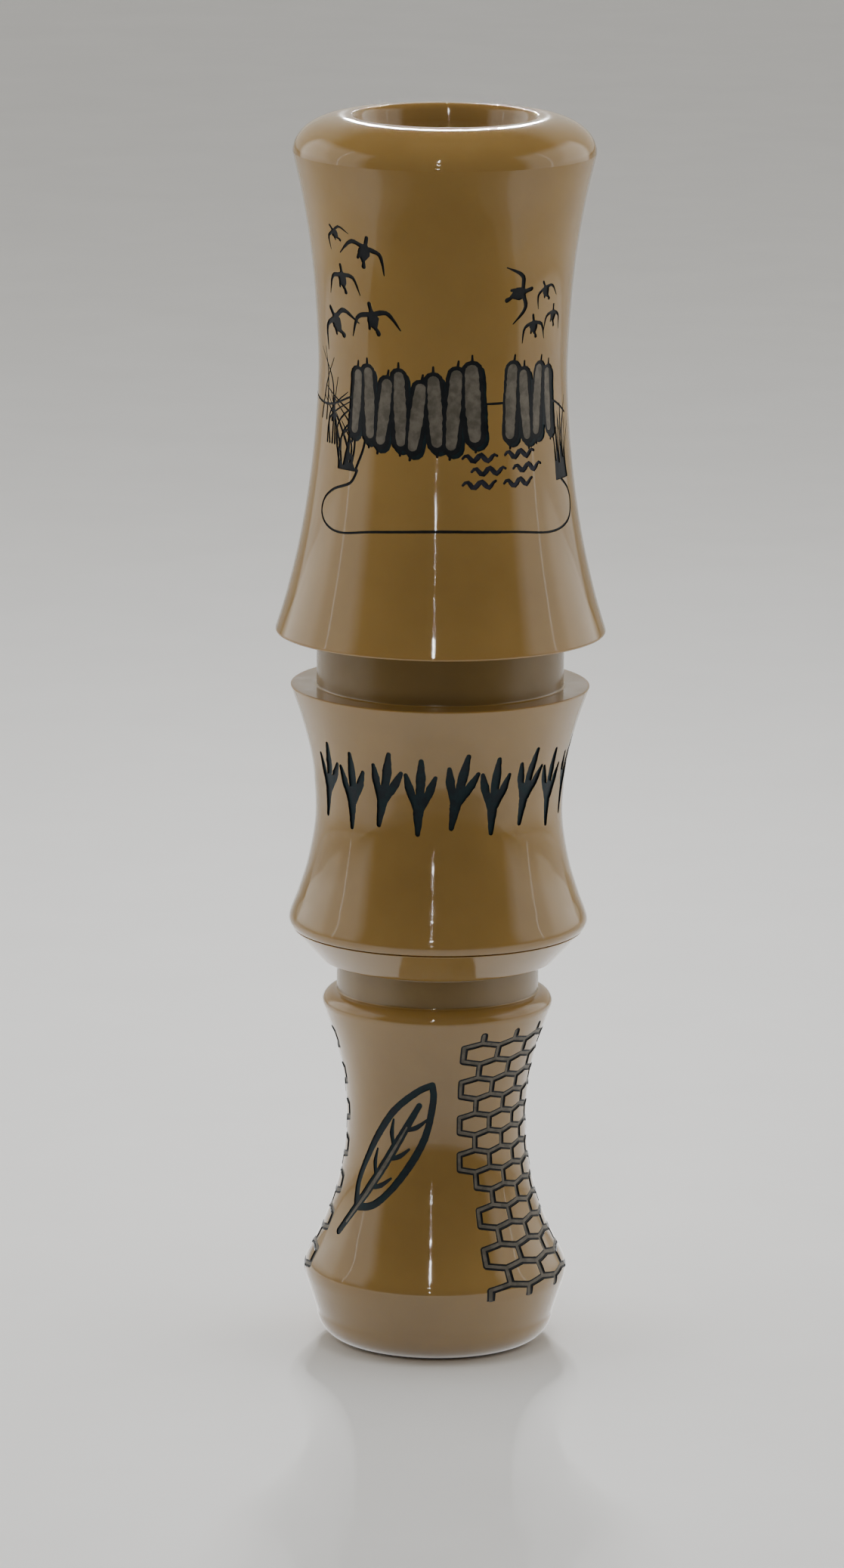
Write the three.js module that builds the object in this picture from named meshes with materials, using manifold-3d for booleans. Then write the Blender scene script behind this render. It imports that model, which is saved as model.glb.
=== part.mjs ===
// Duck call, in millimetres. A turned acrylic barrel takes an insert: a turned bell with a
// pressed-in tone board that carries two O-rings, two reeds and the cork wedge that clamps them.
// Origin at the centre of the bell's end face, +Z along the bore up to the mouthpiece.
// The reeds lie on the -Y side of the tone board.
import * as THREE from "three";
import { mergeVertices } from "three/addons/utils/BufferGeometryUtils.js";
import Module from "manifold-3d";

const manifold = await Module();
manifold.setup();

// Turning: facets round every turned piece, and points on each span of a smooth outline.
const FACETS = 48;
const SPAN_POINTS = 2;
const CORNER_POINTS = 5;

// Heights of the main faces.
const TOP_Z = 143.6;
const LIP_MAX_Z = 139.4;
const FLARE_FACE_Z = 83.85;
const LEDGE_Z = 77.7;
const BARREL_END_Z = 49.2;
const SHOULDER_Z = 49.1;
const SHOULDER_FOOT_Z = 45.5;
const BELL_GROOVE_Z = 41.7;

// Radii of the barrel. The widest turned diameter, 38 mm, is that of the flare.
const FLARE_R = 19.0;
const MOUTH_R = 10.3;
const LAND_R = 11.4;
const LIP_MAX_R = 17.35;
const LEDGE_R = 17.3;
const BARREL_GROOVE_R = 14.25;
const BARREL_END_R = 16.95;
const BORE_R = 7.94;

// Radii of the insert's bell.
const SHOULDER_R = 16.85;
const SHOULDER_FOOT_R = 13.6;
const BELL_GROOVE_R = 11.7;
const BELL_LIP_R = 13.35;
const BELL_LIP_Z = 40.2;
const BELL_MAX_R = 15.22;
const BASE_FLAT_R = 10.0;
const BASE_CORNER_R = 13.75;
const BASE_CORNER_Z = 3.4;
const HORN_MOUTH_R = 7.4;
const HORN_THROAT_R = 5.0;
const SOCKET_R = 6.4;
const SOCKET_Z = 34.0;

// Small rounds and chamfers of the turned edges.
const RIM_EDGE = 0.4;
const FLARE_EDGE = 0.45;
const GROOVE_EDGE = 0.25;
const BORE_CHAMFER = 0.5;
const NOSE_CHAMFER = 0.9;

// Tone board: spigot in the bell, keg in the barrel, then the board itself.
const SPIGOT_R = 6.3;
const SPIGOT_END_Z = 34.2;
const KEG_R = 7.7;
const NOTCH_Z = 71.0;
const CLAMP_END_Z = 84.0;
const BOARD_TIP_Z = 115.0;
const BOARD_FACE_Y = -3.0;
const BOARD_DROP = 2.3;
const UNDERCUT_RISE = 0.4;
const CHANNEL_R = 3.3;
const CHANNEL_Y = -0.3;
const CHANNEL_END_Z = 111.0;
const TROUGH_START_Z = 71.5;
const BORE_END_Z = 74.0;

// O-rings, each in a groove of the keg.
const O_RING_Z = { o_ring_rear: 54.5, o_ring_front: 64.0 };
const O_RING_SECTION_R = 0.85;
const O_RING_CENTRE_R = 7.0;
const O_RING_GROOVE_R = 6.05;
const O_RING_GROOVE_WIDTH = 2.0;

// Reeds and wedge.
const REED_WIDTH = 13.2;
const REED_START_Z = 71.8;
const REED_CLIP = 1.6;
const REED_GAP = 0.03;
const LOWER_REED = { thickness: 0.36, tip: 113.4 };
const UPPER_REED = { thickness: 0.25, tip: 110.8 };
const WEDGE_WIDTH = 11.0;
const WEDGE_OUTER_R = 7.4;
const WEDGE_END_Z = 83.6;
const WEDGE_GAP = 0.25;

// Half the side of a cutting tool that reaches past every piece it cuts, and the length by which
// a cut overlaps the one it opens into.
const CUT_REACH = 9;
const CUT_OVERLAP = 1;

// Points on the curved reed face, and round the section of an O-ring.
const FACE_STEPS = 12;
const SECTION_POINTS = 8;

const COLOURS = { acrylic: 0xa67c46, rubber: 0x161616, film: 0xd9dcd6, cork: 0xb98a5a };

function material(colour, roughness) {
  return new THREE.MeshStandardMaterial({ color: colour, roughness, metalness: 0 });
}

// A point of a turned outline: radius, then height.
const at = (radius, height) => new THREE.Vector2(radius, height);

// A smooth stretch of outline through the given points.
function smooth(points) {
  return new THREE.SplineCurve(points).getPoints(SPAN_POINTS * (points.length - 1));
}

// A quarter ellipse that leaves one point along the height and reaches the other along the radius.
function corner(side, face) {
  const points = [];
  for (let step = 0; step <= CORNER_POINTS; step += 1) {
    const angle = (step / CORNER_POINTS) * (Math.PI / 2);
    const radius = face.x + (side.x - face.x) * Math.cos(angle);
    const height = side.y + (face.y - side.y) * Math.sin(angle);
    points.push(at(radius, height));
  }
  return points;
}

// Drops a point that repeats the one before it.
function joined(...stretches) {
  const all = stretches.flat();
  return all.filter((point, index) => index === 0 || point.distanceTo(all[index - 1]) > 0.01);
}

// Turns an outline round the Z axis. Every outline runs up the outside and down the inside.
function turned(outline) {
  return new THREE.LatheGeometry(outline, FACETS).rotateX(Math.PI / 2);
}

function closed(outline) {
  return [...outline, outline[0].clone()];
}

function solidOf(geometry) {
  const bare = geometry.clone();
  bare.deleteAttribute("normal");
  bare.deleteAttribute("uv");
  const merged = mergeVertices(bare, 1e-4);
  const mesh = new manifold.Mesh({
    numProp: 3,
    vertProperties: new Float32Array(merged.attributes.position.array),
    triVerts: new Uint32Array(merged.index.array),
  });
  return new manifold.Manifold(mesh);
}

function geometryOf(solid) {
  const mesh = solid.getMesh();
  const geometry = new THREE.BufferGeometry();
  geometry.setAttribute("position", new THREE.BufferAttribute(mesh.vertProperties, 3));
  geometry.setIndex(new THREE.BufferAttribute(mesh.triVerts, 1));
  geometry.computeVertexNormals();
  return geometry;
}

// Extrudes a closed outline drawn in X and Y up the Z axis between two heights.
function risen(shape, low, high, curveSegments = 12) {
  const options = { depth: high - low, bevelEnabled: false, curveSegments };
  return new THREE.ExtrudeGeometry(shape, options).translate(0, 0, low);
}

// Extrudes a closed outline drawn in Y and Z along the X axis, to both sides of the middle.
function acrossX(points, halfWidth) {
  const shape = new THREE.Shape(points);
  const geometry = new THREE.ExtrudeGeometry(shape, { depth: 2 * halfWidth, bevelEnabled: false });
  geometry.translate(0, 0, -halfWidth);
  const turn = new THREE.Matrix4();
  turn.makeBasis(new THREE.Vector3(0, 1, 0), new THREE.Vector3(0, 0, 1), new THREE.Vector3(1, 0, 0));
  return geometry.applyMatrix4(turn);
}

// The lower half of the barrel's outline: a waisted spool from the joint up to its top ledge.
function spoolOutline() {
  const ledgeRim = at(LEDGE_R, LEDGE_Z - RIM_EDGE);
  const waist = [
    at(17.25, 50.5),
    at(16.15, 53.3),
    at(15.1, 57.0),
    at(14.3, 61.9),
    at(14.45, 66.7),
    at(14.9, 69.9),
    at(16.0, 74.0),
    ledgeRim,
  ];
  const rimCorner = corner(ledgeRim, at(LEDGE_R - RIM_EDGE, LEDGE_Z));
  return joined([at(BARREL_END_R, BARREL_END_Z)], smooth(waist), rimCorner);
}

// The upper half: lanyard groove, flared skirt, long waist and the rounded mouthpiece.
function mouthpieceOutline() {
  const flareRim = at(FLARE_R, FLARE_FACE_Z + FLARE_EDGE);
  const flareFoot = at(FLARE_R - FLARE_EDGE, FLARE_FACE_Z);
  const lip = at(LIP_MAX_R, LIP_MAX_Z);
  const waist = [
    flareRim,
    at(17.65, 88.8),
    at(16.1, 95.7),
    at(14.9, 104.0),
    at(14.3, 112.4),
    at(14.4, 118.8),
    at(15.0, 126.6),
    at(16.05, 133.5),
    lip,
  ];
  const grooveFloor = [at(BARREL_GROOVE_R, LEDGE_Z), at(BARREL_GROOVE_R, FLARE_FACE_Z)];
  const crown = corner(lip, at(LAND_R, TOP_Z));
  return joined(grooveFloor, [flareFoot], smooth(waist), crown);
}

// The bore, from the dished mouth down to the joint.
function boreOutline() {
  const rim = [at(MOUTH_R + RIM_EDGE, TOP_Z)];
  const dish = [at(MOUTH_R, TOP_Z - RIM_EDGE), at(9.3, 140.0), at(8.3, 134.0), at(BORE_R, 127.0)];
  const end = [at(BORE_R, BARREL_END_Z + BORE_CHAMFER), at(BORE_R + BORE_CHAMFER, BARREL_END_Z)];
  return joined(rim, smooth(dish), end);
}

function barrel() {
  return turned(closed(joined(spoolOutline(), mouthpieceOutline(), boreOutline())));
}

// The bell's outside: rounded foot, flared skirt, waist, lip, lanyard groove and shoulder.
function bellOutline() {
  const foot = corner(at(BASE_CORNER_R, BASE_CORNER_Z), at(BASE_FLAT_R, 0)).reverse();
  const bellRim = [at(15.0, 7.65), at(BELL_MAX_R, 8.8)];
  const lipSide = at(BELL_LIP_R, BELL_LIP_Z);
  const waist = [
    at(15.0, 9.85),
    at(13.1, 13.55),
    at(11.35, 18.8),
    at(10.5, 24.5),
    at(10.6, 29.7),
    at(11.5, 34.7),
    lipSide,
  ];
  const lip = corner(lipSide, at(BELL_GROOVE_R, BELL_GROOVE_Z));
  const grooveTop = at(BELL_GROOVE_R, SHOULDER_FOOT_Z - GROOVE_EDGE);
  const shoulder = [at(SHOULDER_FOOT_R, SHOULDER_FOOT_Z), at(SHOULDER_R, SHOULDER_Z)];
  return joined(foot, bellRim, smooth(waist), lip, [grooveTop], shoulder);
}

// The bell's inside: the tone board's socket, then the horn that opens to the end face.
function hornOutline() {
  const socket = [at(SOCKET_R, SHOULDER_Z), at(SOCKET_R, SOCKET_Z)];
  const horn = [
    at(HORN_THROAT_R, SOCKET_Z),
    at(5.2, 20.0),
    at(6.1, 8.0),
    at(HORN_MOUTH_R, RIM_EDGE),
  ];
  return joined(socket, smooth(horn), [at(HORN_MOUTH_R + RIM_EDGE, 0)]);
}

function insertBell() {
  return turned(closed(joined(bellOutline(), hornOutline())));
}

// One O-ring groove in the keg's outline.
function grooveOutline(height) {
  const low = height - O_RING_GROOVE_WIDTH / 2;
  const high = height + O_RING_GROOVE_WIDTH / 2;
  return [at(KEG_R, low), at(O_RING_GROOVE_R, low), at(O_RING_GROOVE_R, high), at(KEG_R, high)];
}

function kegBlank() {
  const spigot = [at(0, SPIGOT_END_Z), at(SPIGOT_R, SPIGOT_END_Z), at(SPIGOT_R, SHOULDER_Z)];
  const grooves = Object.values(O_RING_Z).map(grooveOutline).flat();
  const noseRim = at(KEG_R, BOARD_TIP_Z - NOSE_CHAMFER);
  const nose = [noseRim, at(KEG_R - NOSE_CHAMFER, BOARD_TIP_Z), at(0, BOARD_TIP_Z)];
  return turned([...spigot, at(KEG_R, SHOULDER_Z), ...grooves, ...nose]);
}

// Height of the undercut face above the reeds, further up the further it is from the axis.
function undercutHeight(y) {
  return NOTCH_Z + UNDERCUT_RISE * (BOARD_FACE_Y - y);
}

// Everything above the board's face: the notch, the clamp flat and the curved reed face.
function reedSpace() {
  const points = [
    new THREE.Vector2(-CUT_REACH, undercutHeight(-CUT_REACH)),
    new THREE.Vector2(BOARD_FACE_Y, NOTCH_Z),
  ];
  for (let step = 0; step <= FACE_STEPS; step += 1) {
    const part = step / FACE_STEPS;
    const height = CLAMP_END_Z + part * (BOARD_TIP_Z - CLAMP_END_Z);
    points.push(new THREE.Vector2(BOARD_FACE_Y + BOARD_DROP * part * part, height));
  }
  points.push(new THREE.Vector2(BOARD_FACE_Y + BOARD_DROP, BOARD_TIP_Z + CUT_OVERLAP));
  points.push(new THREE.Vector2(-CUT_REACH, BOARD_TIP_Z + CUT_OVERLAP));
  return acrossX(points.reverse(), CUT_REACH);
}

// The round air bore of the keg.
function airBore() {
  const shape = new THREE.Shape().absarc(0, CHANNEL_Y, CHANNEL_R, 0, 2 * Math.PI);
  return risen(shape, SPIGOT_END_Z - CUT_OVERLAP, BORE_END_Z);
}

// The trough under the reeds: a round floor with straight walls up to the board's face.
function airTrough() {
  const shape = new THREE.Shape();
  shape.moveTo(-CHANNEL_R, BOARD_FACE_Y - CUT_OVERLAP);
  shape.lineTo(CHANNEL_R, BOARD_FACE_Y - CUT_OVERLAP);
  shape.absarc(0, CHANNEL_Y, CHANNEL_R, 0, Math.PI);
  return risen(shape, TROUGH_START_Z, CHANNEL_END_Z);
}

function toneBoard() {
  const blank = solidOf(kegBlank());
  const cut = [reedSpace(), airBore(), airTrough()].map(solidOf);
  return geometryOf(cut.reduce((body, tool) => body.subtract(tool), blank));
}

function oRing(height) {
  const section = [];
  for (let index = 0; index < SECTION_POINTS; index += 1) {
    const angle = (index / SECTION_POINTS) * 2 * Math.PI;
    const radius = O_RING_CENTRE_R + O_RING_SECTION_R * Math.cos(angle);
    section.push(at(radius, height + O_RING_SECTION_R * Math.sin(angle)));
  }
  return turned(closed(section));
}

// A reed: a thin strip with clipped corners at its free end, lying at the given face height.
function reed({ thickness, tip }, faceY) {
  const half = REED_WIDTH / 2;
  const outline = new THREE.Shape([
    new THREE.Vector2(-half, REED_START_Z),
    new THREE.Vector2(half, REED_START_Z),
    new THREE.Vector2(half, tip - REED_CLIP),
    new THREE.Vector2(half - REED_CLIP, tip),
    new THREE.Vector2(-half + REED_CLIP, tip),
    new THREE.Vector2(-half, tip - REED_CLIP),
  ]);
  const geometry = new THREE.ExtrudeGeometry(outline, { depth: thickness, bevelEnabled: false });
  return geometry.rotateX(Math.PI / 2).translate(0, faceY, 0);
}

// The cork wedge: flat on the reeds, round towards the bore, sloped where it tucks in.
function reedWedge(faceY) {
  const half = WEDGE_WIDTH / 2;
  const edge = Math.asin(half / WEDGE_OUTER_R);
  const section = new THREE.Shape();
  section.moveTo(half, faceY);
  section.lineTo(-half, faceY);
  section.absarc(0, 0, WEDGE_OUTER_R, -Math.PI / 2 - edge, -Math.PI / 2 + edge);
  const block = solidOf(risen(section, NOTCH_Z, WEDGE_END_Z));
  const tuckedAway = [
    new THREE.Vector2(-CUT_REACH, undercutHeight(-CUT_REACH) + WEDGE_GAP),
    new THREE.Vector2(0, undercutHeight(0) + WEDGE_GAP),
    new THREE.Vector2(0, WEDGE_END_Z),
    new THREE.Vector2(-CUT_REACH, WEDGE_END_Z),
  ];
  return geometryOf(block.intersect(solidOf(acrossX(tuckedAway, CUT_REACH))));
}

function named(name, geometry, look) {
  const mesh = new THREE.Mesh(geometry, look);
  mesh.name = name;
  return mesh;
}

const lowerFaceY = BOARD_FACE_Y - REED_GAP;
const upperFaceY = lowerFaceY - LOWER_REED.thickness - REED_GAP;
const wedgeFaceY = upperFaceY - UPPER_REED.thickness - REED_GAP;

const call = new THREE.Group();
call.add(named("barrel", barrel(), material(COLOURS.acrylic, 0.12)));
call.add(named("insert_bell", insertBell(), material(COLOURS.acrylic, 0.12)));
call.add(named("tone_board", toneBoard(), material(COLOURS.acrylic, 0.25)));
for (const [name, height] of Object.entries(O_RING_Z)) {
  call.add(named(name, oRing(height), material(COLOURS.rubber, 0.6)));
}
call.add(named("lower_reed", reed(LOWER_REED, lowerFaceY), material(COLOURS.film, 0.2)));
call.add(named("upper_reed", reed(UPPER_REED, upperFaceY), material(COLOURS.film, 0.2)));
call.add(named("reed_wedge", reedWedge(wedgeFaceY), material(COLOURS.cork, 0.8)));

export default call;
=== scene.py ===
"""Looks for the duck call: polished cast acrylic with paint-filled engraving.

Shapes are drawn in millimetres and scaled to metres when each mesh is made. A turned piece is an
outline of (radius, height) points. The engraving is drawn as pen strokes on the unrolled surface
and cut into the mesh. Lights, cameras and materials are in metres.
"""

import bmesh
import bpy
import math
import random
import numpy as np
from mathutils import Matrix, Vector
from mathutils.geometry import delaunay_2d_cdt


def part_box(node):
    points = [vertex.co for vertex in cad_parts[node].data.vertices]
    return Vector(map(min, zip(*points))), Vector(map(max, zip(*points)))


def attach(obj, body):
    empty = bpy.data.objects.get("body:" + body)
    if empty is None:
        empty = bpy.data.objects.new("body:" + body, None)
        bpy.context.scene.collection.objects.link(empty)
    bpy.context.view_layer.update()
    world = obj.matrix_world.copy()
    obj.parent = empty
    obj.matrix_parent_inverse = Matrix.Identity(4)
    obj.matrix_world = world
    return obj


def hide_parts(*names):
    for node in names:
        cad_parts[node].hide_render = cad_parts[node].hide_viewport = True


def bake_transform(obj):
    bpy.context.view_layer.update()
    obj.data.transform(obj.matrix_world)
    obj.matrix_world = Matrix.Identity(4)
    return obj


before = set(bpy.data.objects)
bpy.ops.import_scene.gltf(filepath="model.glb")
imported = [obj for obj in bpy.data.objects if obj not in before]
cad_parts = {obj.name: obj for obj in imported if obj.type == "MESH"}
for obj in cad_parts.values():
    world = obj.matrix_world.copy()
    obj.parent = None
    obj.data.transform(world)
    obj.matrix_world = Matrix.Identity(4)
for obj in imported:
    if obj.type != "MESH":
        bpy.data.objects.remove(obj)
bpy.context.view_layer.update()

MM = 0.001
SEED = 11

# Steps round the turned pieces, along one span of a curve and along a fillet, and the points of a
# quarter ellipse.
FACETS = 192
BELL_FACETS = 160
BOARD_FACETS = 96
RING_FACETS = 128
SPAN_POINTS = 16
FILLET_POINTS = 6
QUARTER_POINTS = 25


# --- Main heights and radii in millimetres ---


def node_box(node):
    """Lowest and highest corner of a CAD node, in millimetres."""
    low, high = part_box(node)
    return Vector(low) / MM, Vector(high) / MM


barrel_low, barrel_high = node_box("barrel")
bell_high = node_box("insert_bell")[1]
board_low, board_high = node_box("tone_board")

# Read from the frame.
TOP_Z = barrel_high.z
FLARE_R = barrel_high.x
JOINT_Z = barrel_low.z
SHOULDER_Z = bell_high.z
BOARD_TIP_Z = board_high.z
SPIGOT_END_Z = board_low.z
KEG_R = board_high.x
O_RINGS = ("o_ring_rear", "o_ring_front")

# Barrel.
SPOOL_FOOT_R = 16.93
FLARE_FACE_Z = 83.85
FLARE_CORNER_R = FLARE_R + 0.12
LEDGE_Z = 77.7
LEDGE_R = 17.3
GROOVE_R = 14.25
LIP_R = 17.35
LIP_Z = 139.4
LAND_R = 11.4
MOUTH_R = 10.4
BORE_R = 7.94
DISH_END_Z = 127.0

# Bell.
BELL_LIP_R = 13.35
BELL_LIP_Z = 40.2
BELL_GROOVE_R = 11.7
BELL_GROOVE_Z = 41.7
SHOULDER_FOOT_R = 13.6
SHOULDER_FOOT_Z = 45.5
SHOULDER_R = 16.85
BELL_FOOT = (15.25, 8.0)
FOOT_CORNER = (13.75, 3.4)
FOOT_FLAT_R = 10.0
HORN_R = 7.4
SOCKET_R = 6.4
SOCKET_Z = 34.0
THROAT_R = 5.0

# Tone board, reeds and wedge.
SPIGOT_R = 6.3
O_RING_GROOVE_R = 6.05
TIP_CHAMFER = 0.9
BOARD_FACE_Y = -3.0
BOARD_DROP = 2.3
NOTCH_Z = 71.0
CLAMP_END_Z = 84.0
UNDERCUT_RISE = 0.4
CHANNEL_R = 3.3
CHANNEL_Y = -0.3
CHANNEL_END_Z = 111.0
O_RING_CENTRE_R = 7.0
O_RING_SECTION_R = 0.85
CUT_REACH = 9.0
WEDGE_GAP = 0.25
REED_CLIP = 1.6
REED_EDGE = 0.12

# Where the engraved runs are in the lists that outline() makes.
SPOOL_RUN = 0
WAIST_RUN = 8
BELL_RUN = 4

# A face belongs to the turned surface when it points the same way and lies this close to it.
SURFACE_MATCH = 0.8
SURFACE_GAP = 0.6

# Engraving: how far a cutter starts outside the surface, how deep the kinds of line are, and the
# spacing of the points that keep a wide floor round.
CUT_START = 0.15
SHADOW_DEPTH = 0.11
LINE_DEPTH = 0.125
FLOOR_DEPTH = 0.15
BOLD_DEPTH = 0.2
GRID_STEP = 0.6

# Points closer than this are one point: in an outline or a drawing, and in a cut mesh.
SAME_POINT = 0.0001
WELD_GAP = 0.001

# How many points are compared with the outline at once.
BLOCK = 2048

# The spacing of points along a pen stroke, and along the straight walls of the honeycomb.
STROKE_STEP = 0.35
WALL_STEP = 0.7


# --- Outlines ---


def smooth(points, per_span=SPAN_POINTS):
    """A Catmull-Rom curve through the points."""
    knots = np.array(points, float)
    last = len(knots) - 1
    curve = []
    for span in range(last):
        before, start, end, after = (knots[min(max(span + k, 0), last)] for k in (-1, 0, 1, 2))
        out_slope = (end - before) / 2
        in_slope = (after - start) / 2
        steps = np.linspace(0, 1, per_span + 1)[:, None]
        cubic = 2 * start - 2 * end + out_slope + in_slope
        square = 3 * end - 3 * start - 2 * out_slope - in_slope
        piece = cubic * steps**3 + square * steps**2 + out_slope * steps + start
        curve.append(piece if span == 0 else piece[1:])
    return np.concatenate(curve)


def straights(*corners):
    """The straight stretches from corner to corner."""
    return [np.array(pair, float) for pair in zip(corners, corners[1:])]


def quarter(side, face):
    """A quarter ellipse from a vertical side to a flat face."""
    angles = np.linspace(0, math.pi / 2, QUARTER_POINTS)
    radius = face[0] + (side[0] - face[0]) * np.cos(angles)
    height = side[1] + (face[1] - side[1]) * np.sin(angles)
    return np.stack([radius, height], axis=1)


def shortened(points, length):
    """The polyline without its first so many millimetres."""
    while True:
        step = np.linalg.norm(points[1] - points[0])
        if step > length or len(points) == 2:
            part = min(length / step, 0.45)
            return np.concatenate([[points[0] + (points[1] - points[0]) * part], points[1:]])
        length -= step
        points = points[1:]


def tangents(points):
    """Unit directions along the points."""
    slopes = np.gradient(points, axis=0)
    return slopes / np.linalg.norm(slopes, axis=1)[:, None]


def fillet(start, corner, end):
    """A small round between two stretches, with its exact tangents."""
    steps = np.linspace(0, 1, FILLET_POINTS + 1)[:, None]
    points = (1 - steps) ** 2 * start + 2 * steps * (1 - steps) * corner + steps**2 * end
    slopes = (1 - steps) * (corner - start) + steps * (end - corner)
    return points, slopes / np.linalg.norm(slopes, axis=1)[:, None]


def outline(stretches, rounds):
    """Joins stretches into one outline. rounds[i] is the fillet after stretch i, 0 for a crease.

    The result is a list of (points, tangents), one for each smooth run.
    """
    trimmed = []
    for index, stretch in enumerate(stretches):
        if rounds[index - 1]:
            stretch = shortened(stretch, rounds[index - 1])
        if rounds[index]:
            stretch = shortened(stretch[::-1], rounds[index])[::-1]
        trimmed.append(stretch)
    runs = []
    for index, stretch in enumerate(trimmed):
        runs.append((stretch, tangents(stretch)))
        if rounds[index]:
            following = trimmed[(index + 1) % len(trimmed)]
            runs.append(fillet(stretch[-1], stretches[index][-1], following[0]))
    return runs


def barrel_outline():
    """Up the outside of the barrel, from the joint to the mouth, and back down the bore."""
    spool = [(SPOOL_FOOT_R, JOINT_Z), (17.24, 50.4), (16.2, 53.3), (15.1, 57.0), (14.3, 61.9)]
    spool += [(14.45, 66.7), (14.9, 69.9), (16.0, 74.0), (LEDGE_R, LEDGE_Z)]
    waist = [(FLARE_CORNER_R, FLARE_FACE_Z), (17.65, 88.8), (16.1, 95.7), (14.9, 104.0)]
    waist += [(14.3, 112.4), (14.4, 118.8), (15.0, 126.6), (16.05, 133.5), (LIP_R, LIP_Z)]
    dish = [(MOUTH_R, TOP_Z), (9.4, 140.3), (8.4, 134.0), (BORE_R, DISH_END_Z)]
    groove = [(GROOVE_R, LEDGE_Z), (GROOVE_R, FLARE_FACE_Z)]
    stretches = [
        smooth(spool),
        *straights((LEDGE_R, LEDGE_Z), *groove, (FLARE_CORNER_R, FLARE_FACE_Z)),
        smooth(waist),
        quarter((LIP_R, LIP_Z), (LAND_R, TOP_Z)),
        *straights((LAND_R, TOP_Z), (MOUTH_R, TOP_Z)),
        smooth(dish),
        *straights((BORE_R, DISH_END_Z), (BORE_R, JOINT_Z), (SPOOL_FOOT_R, JOINT_Z)),
    ]
    return outline(stretches, [0.3, 0.25, 0.25, 0.45, 0, 0, 0.9, 0, 0.5, 0.2])


def bell_outline():
    """Up the outside of the bell, from the foot to the shoulder, and down the socket and horn."""
    bell = [BELL_FOOT, (15.05, 9.6), (13.1, 13.55), (11.35, 18.8), (10.5, 24.5)]
    bell += [(10.6, 29.7), (11.5, 34.7), (BELL_LIP_R, BELL_LIP_Z)]
    groove = [(BELL_GROOVE_R, BELL_GROOVE_Z), (BELL_GROOVE_R, SHOULDER_FOOT_Z - 0.3)]
    shoulder = [(SHOULDER_FOOT_R, SHOULDER_FOOT_Z), (SHOULDER_R, SHOULDER_Z)]
    socket = [(SOCKET_R, SHOULDER_Z), (SOCKET_R, SOCKET_Z), (THROAT_R, SOCKET_Z)]
    stretches = [
        quarter(FOOT_CORNER, (FOOT_FLAT_R, 0))[::-1],
        *straights(FOOT_CORNER, BELL_FOOT),
        smooth(bell),
        quarter((BELL_LIP_R, BELL_LIP_Z), (BELL_GROOVE_R, BELL_GROOVE_Z)),
        *straights(*groove, *shoulder, *socket),
        smooth([(THROAT_R, SOCKET_Z), (5.2, 20.0), (6.1, 8.0), (HORN_R, 0.0)]),
        *straights((HORN_R, 0.0), (FOOT_FLAT_R, 0.0)),
    ]
    return outline(stretches, [0.4, 0.7, 0.35, 0.25, 0.25, 0.25, 0.15, 0.3, 0.2, 0.2, 0.4, 0])


def keg_outline():
    """The turned blank of the tone board: spigot, keg with two ring grooves, chamfered tip."""
    corners = [(0, SPIGOT_END_Z), (SPIGOT_R, SPIGOT_END_Z), (SPIGOT_R, SHOULDER_Z)]
    corners.append((KEG_R, SHOULDER_Z))
    rounds = [0.3, 0, 0.2]
    for low, high in (node_box(name) for name in O_RINGS):
        start, end = (low.z + high.z) / 2 - 1, (low.z + high.z) / 2 + 1
        corners += [(KEG_R, start), (O_RING_GROOVE_R, start), (O_RING_GROOVE_R, end), (KEG_R, end)]
        rounds += [0.12, 0.15, 0.15, 0.12]
    corners += [(KEG_R, BOARD_TIP_Z - TIP_CHAMFER), (KEG_R - TIP_CHAMFER, BOARD_TIP_Z)]
    corners.append((0, BOARD_TIP_Z))
    rounds += [0.2, 0.2, 0]
    return outline(straights(*corners), rounds)


# --- Meshes ---


def new_object(name, data):
    """An object in the scene."""
    obj = bpy.data.objects.new(name, data)
    bpy.context.scene.collection.objects.link(obj)
    return obj


def mesh_object(name, vertices, faces, materials=()):
    """A mesh object from points in millimetres."""
    mesh = bpy.data.meshes.new(name)
    mesh.from_pydata([tuple(np.array(v, float) * MM) for v in vertices], [], faces)
    mesh.update()
    for material in materials:
        mesh.materials.append(material)
    return new_object(name, mesh)


def welded(runs):
    """The outline's points without repeats."""
    points = []
    for run, _ in runs:
        for point in run:
            if not points or np.linalg.norm(point - points[-1]) > SAME_POINT:
                points.append(point)
    if np.linalg.norm(points[0] - points[-1]) < SAME_POINT:
        points.pop()
    return np.array(points)


def rings_of(count, size):
    """The numbers of so many vertices, in rings of one size."""
    return [list(range(first, first + size)) for first in range(0, count, size)]


def ring_faces(rings):
    """Faces between each ring of vertex numbers and the next; a ring on the axis is one vertex."""
    faces = []
    for low, high in zip(rings, rings[1:]):
        for k in range(len(low)):
            after = (k + 1) % len(low)
            corners = dict.fromkeys((low[k], low[after], high[after], high[k]))
            if len(corners) > 2:
                faces.append(list(corners))
    return faces


def revolve(name, runs, materials, facets=FACETS):
    """Turns an outline round the Z axis into one closed mesh."""
    angles = np.arange(facets) * 2 * math.pi / facets
    vertices = []
    rings = []
    for radius, height in welded(runs):
        if radius < SAME_POINT:
            rings.append([len(vertices)] * facets)
            vertices.append((0, 0, height))
            continue
        rings.append(list(range(len(vertices), len(vertices) + facets)))
        vertices += [(radius * math.sin(a), -radius * math.cos(a), height) for a in angles]
    return mesh_object(name, vertices, ring_faces(rings + rings[:1]), materials)


def values_of(items, name, width=1, kind=float):
    """One property of all of a mesh's faces, corners or vertices."""
    values = np.empty(len(items) * width, kind)
    items.foreach_get(name, values)
    return values.reshape(-1, width) if width > 1 else values


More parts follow.
